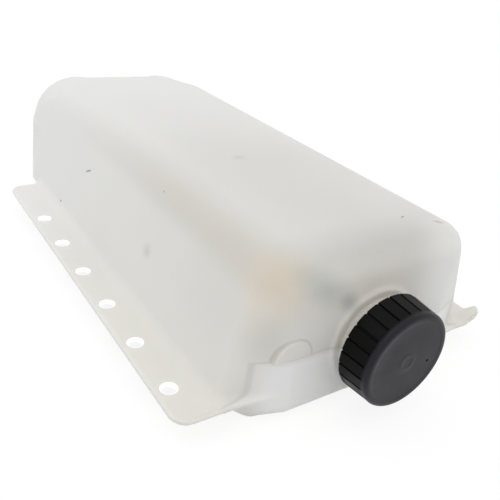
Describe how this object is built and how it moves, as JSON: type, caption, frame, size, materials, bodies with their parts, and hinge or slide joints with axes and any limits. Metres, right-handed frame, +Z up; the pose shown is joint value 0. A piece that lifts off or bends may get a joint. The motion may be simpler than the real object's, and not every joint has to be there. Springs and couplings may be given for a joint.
{
  "type": "coolant expansion tank",
  "caption": "Shallow moulded coolant expansion tank with a bolting flange along each side, a filler neck in the front wall and a ribbed screw cap.",
  "frame": {"origin": "point on the flat underside, midway along and between the two rows of flange holes", "axes": "+X across the tank, to the right as seen from the cap end; +Y along the tank from the cap end to the rear; +Z up"},
  "size_m": [0.28, 0.5315, 0.111],
  "materials": {
    "natural_plastic": "translucent natural polyethylene, smooth satin, with light scuffs",
    "black_plastic": "black moulded plastic, satin grip, finely grained face",
    "seal_rubber": "dark rubber"
  },
  "bodies": {
    "tank": {"tank_body": "natural_plastic"},
    "seal": {"cap_seal": "seal_rubber"},
    "cap": {"filler_cap": "black_plastic"}
  },
  "joints": [
    {"name": "cap_lift", "type": "slide", "parent": "tank", "child": "seal", "axis": [0, -1, 0], "range_m": [0, 0.0125]},
    {"name": "cap_turn", "type": "hinge", "parent": "seal", "child": "cap", "pos_m": [0, -0.18, 0.048], "axis": [0, -1, 0], "range_deg": [0, 900]}
  ],
  "couplings": [
    {"joint": "cap_lift", "follows": "cap_turn", "m_per_rad": 0.00079577}
  ]
}
